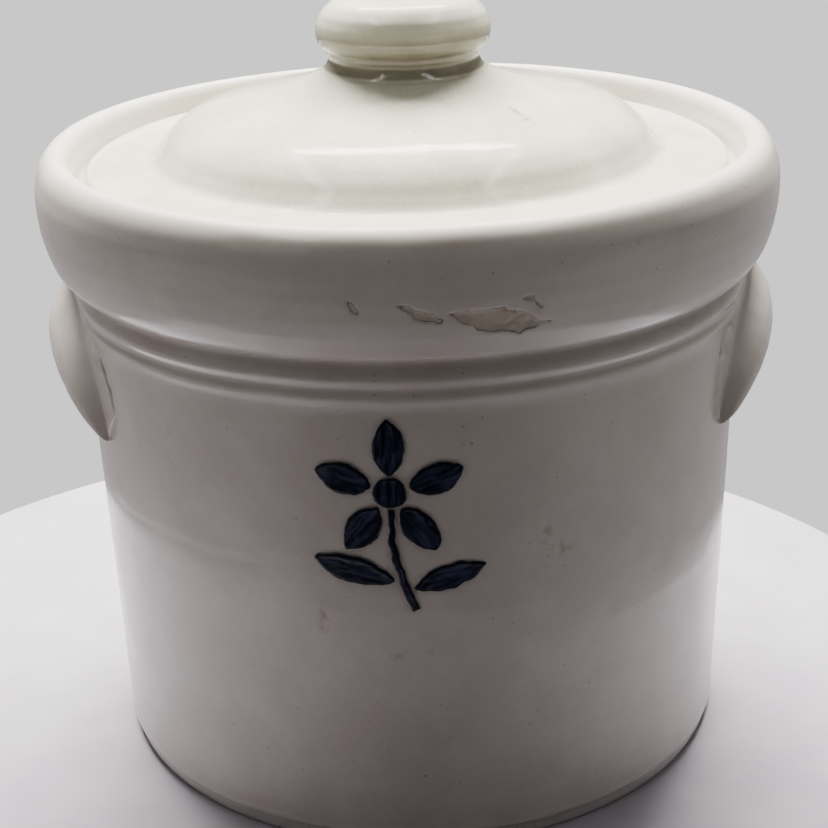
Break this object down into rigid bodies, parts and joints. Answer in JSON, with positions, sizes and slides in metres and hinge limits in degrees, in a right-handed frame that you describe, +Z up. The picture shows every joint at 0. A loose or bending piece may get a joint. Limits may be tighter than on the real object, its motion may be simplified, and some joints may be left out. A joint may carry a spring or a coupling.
{
  "type": "lidded stoneware crock",
  "caption": "Lidded stoneware crock with a rolled rim, two lug ears, a drop-in domed lid with a round knob, and a painted flower sprig.",
  "frame": {"origin": "centre of the crock's base, on the surface that it stands on", "axes": "+Z up along the thrown axis, -Y the painted front, +X towards the right ear as seen from the front"},
  "size_m": [0.2152, 0.2126, 0.2192],
  "materials": {
    "crock_glaze": "glossy warm white glaze over pale stoneware, bare clay at the foot",
    "lid_glaze": "glossy greenish white glaze with fine specks",
    "cobalt_slip": "raised brushed slip, near black at its edges, under a glossy glaze"
  },
  "bodies": {
    "crock": {"crock_body": "crock_glaze", "left_ear": "crock_glaze", "right_ear": "crock_glaze", "slip_petals": "cobalt_slip", "slip_flower_eye": "cobalt_slip", "slip_stem": "cobalt_slip", "slip_leaves": "cobalt_slip"},
    "lid": {"lid": "lid_glaze", "lid_knob": "lid_glaze"}
  },
  "joints": [
    {"name": "lid_lift", "type": "slide", "parent": "crock", "child": "lid", "axis": [0, 0, 1], "range_m": [0, 0.15]}
  ]
}
